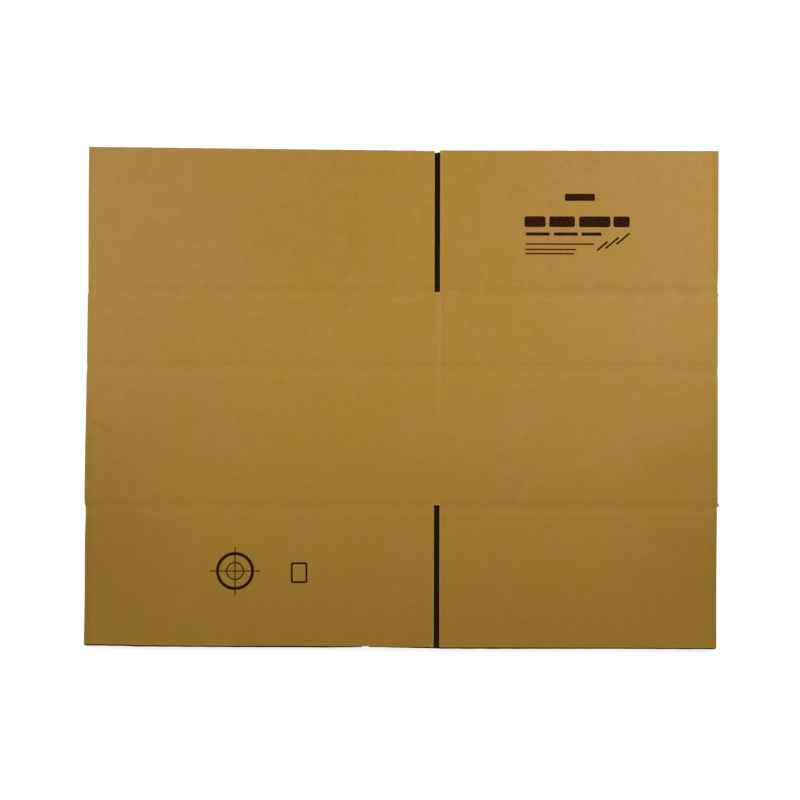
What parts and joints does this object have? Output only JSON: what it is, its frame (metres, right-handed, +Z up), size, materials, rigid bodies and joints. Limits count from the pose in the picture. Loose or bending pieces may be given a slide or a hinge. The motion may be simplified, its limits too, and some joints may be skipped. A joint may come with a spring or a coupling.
{
  "type": "flattened cardboard box",
  "caption": "Corrugated slotted shipping box knocked down flat: glued sleeve with rounded panel folds, a glued joint behind, and creased front flaps that hinge outwards.",
  "frame": {"origin": "middle of the flat outline, on the surface that the back panels lie on", "axes": "+X across the panels towards the short front panel, +Y to the top flaps, +Z up out of the front panels"},
  "size_m": [0.9034, 0.714, 0.0112],
  "materials": {
    "kraft_liner": "matte",
    "kraft_inside": "matte",
    "fluting_paper": "matte"
  },
  "bodies": {
    "sleeve": {"sleeve": "kraft_liner"},
    "long_top_flap": {"long_top_flap": "kraft_liner"},
    "short_top_flap": {"short_top_flap": "kraft_liner"},
    "long_bottom_flap": {"long_bottom_flap": "kraft_liner"},
    "short_bottom_flap": {"short_bottom_flap": "kraft_liner"}
  },
  "joints": [
    {"name": "long_top_crease", "type": "hinge", "parent": "sleeve", "child": "long_top_flap", "pos_m": [-0.2, 0.154, 0.01135], "axis": [1, 0, 0], "range_deg": [0, 180]},
    {"name": "short_top_crease", "type": "hinge", "parent": "sleeve", "child": "short_top_flap", "pos_m": [0.25, 0.154, 0.01135], "axis": [1, 0, 0], "range_deg": [0, 180]},
    {"name": "long_bottom_crease", "type": "hinge", "parent": "sleeve", "child": "long_bottom_flap", "pos_m": [-0.2, -0.152, 0.01135], "axis": [-1, 0, 0], "range_deg": [0, 176]},
    {"name": "short_bottom_crease", "type": "hinge", "parent": "sleeve", "child": "short_bottom_flap", "pos_m": [0.25, -0.152, 0.01135], "axis": [-1, 0, 0], "range_deg": [0, 176]}
  ]
}
